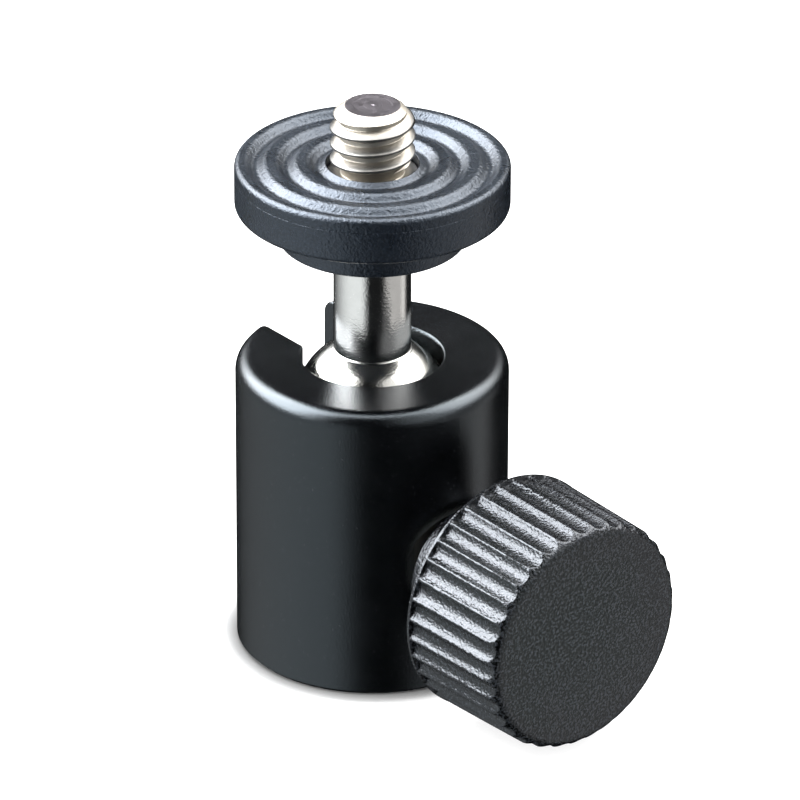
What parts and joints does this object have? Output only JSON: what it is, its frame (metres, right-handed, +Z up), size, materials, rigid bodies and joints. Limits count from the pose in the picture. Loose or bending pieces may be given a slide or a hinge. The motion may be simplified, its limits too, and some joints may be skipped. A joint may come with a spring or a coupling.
{
  "type": "tripod ball head",
  "caption": "Small tripod ball head: a slotted cylindrical housing with a fluted side clamp knob, and a ball, stem and round grooved plate with a 1/4 inch camera screw.",
  "frame": {"origin": "centre of the tripod socket's mouth, in the housing's flat bottom face", "axes": "+Z up along the stem to the camera screw; +X from the housing towards the clamp knob; the stem's slot faces -X"},
  "size_m": [0.0352, 0.0206, 0.0442],
  "materials": {
    "housing": "black coating with a fine satin grain",
    "black_plastic": "moulded dark slate grey with a lightly hammered skin",
    "nickel": "turned steel, bright nickel plate",
    "steel": "plain turned steel",
    "brass": "turned brass",
    "piston_alloy": "plain turned aluminium",
    "pale_plastic": "natural acetal or nylon",
    "rubber": "black nitrile rubber"
  },
  "bodies": {
    "housing": {"housing": "housing", "base_plug": "housing", "tripod_bush": "brass", "upper_seat_ring": "pale_plastic", "clamp_bush": "brass", "drag_spring": "steel"},
    "piston": {"pressure_piston": "piston_alloy", "wedge_pin": "steel", "friction_ring": "rubber"},
    "liner": {"ball_liner": "pale_plastic"},
    "ball": {"ball": "nickel"},
    "top": {"ball_stem": "nickel", "lock_washer": "steel", "plate_insert": "steel", "camera_plate": "black_plastic", "camera_screw": "nickel"},
    "knob_carriage": {"thrust_washer": "pale_plastic"},
    "knob": {"knob": "black_plastic", "knob_insert": "brass", "clamp_screw": "steel", "screw_stop_ring": "steel"}
  },
  "joints": [
    {"name": "side_tilt", "type": "hinge", "parent": "housing", "child": "liner", "pos_m": [0, 0, 0.01905], "axis": [1, 0, 0], "range_deg": [-17, 17]},
    {"name": "fore_tilt", "type": "hinge", "parent": "liner", "child": "ball", "pos_m": [0, 0, 0.01905], "axis": [0, 1, 0], "range_deg": [-90, 17]},
    {"name": "pan", "type": "hinge", "parent": "ball", "child": "top", "pos_m": [0, 0, 0.01905], "axis": [0, 0, 1], "continuous": true},
    {"name": "knob_advance", "type": "slide", "parent": "housing", "child": "knob_carriage", "axis": [1, 0, 0], "range_m": [0, 0.0006]},
    {"name": "knob_turn", "type": "hinge", "parent": "knob_carriage", "child": "knob", "pos_m": [0, 0, 0.00995], "axis": [1, 0, 0], "range_deg": [0, 270]},
    {"name": "piston_lift", "type": "slide", "parent": "housing", "child": "piston", "axis": [0, 0, 1], "range_m": [-0.00043, 0], "deforming": ["drag_spring"]}
  ],
  "couplings": [
    {"joint": "knob_turn", "follows": "knob_advance", "rad_per_m": 7854},
    {"joint": "piston_lift", "follows": "knob_advance", "ratio": -0.7002}
  ]
}
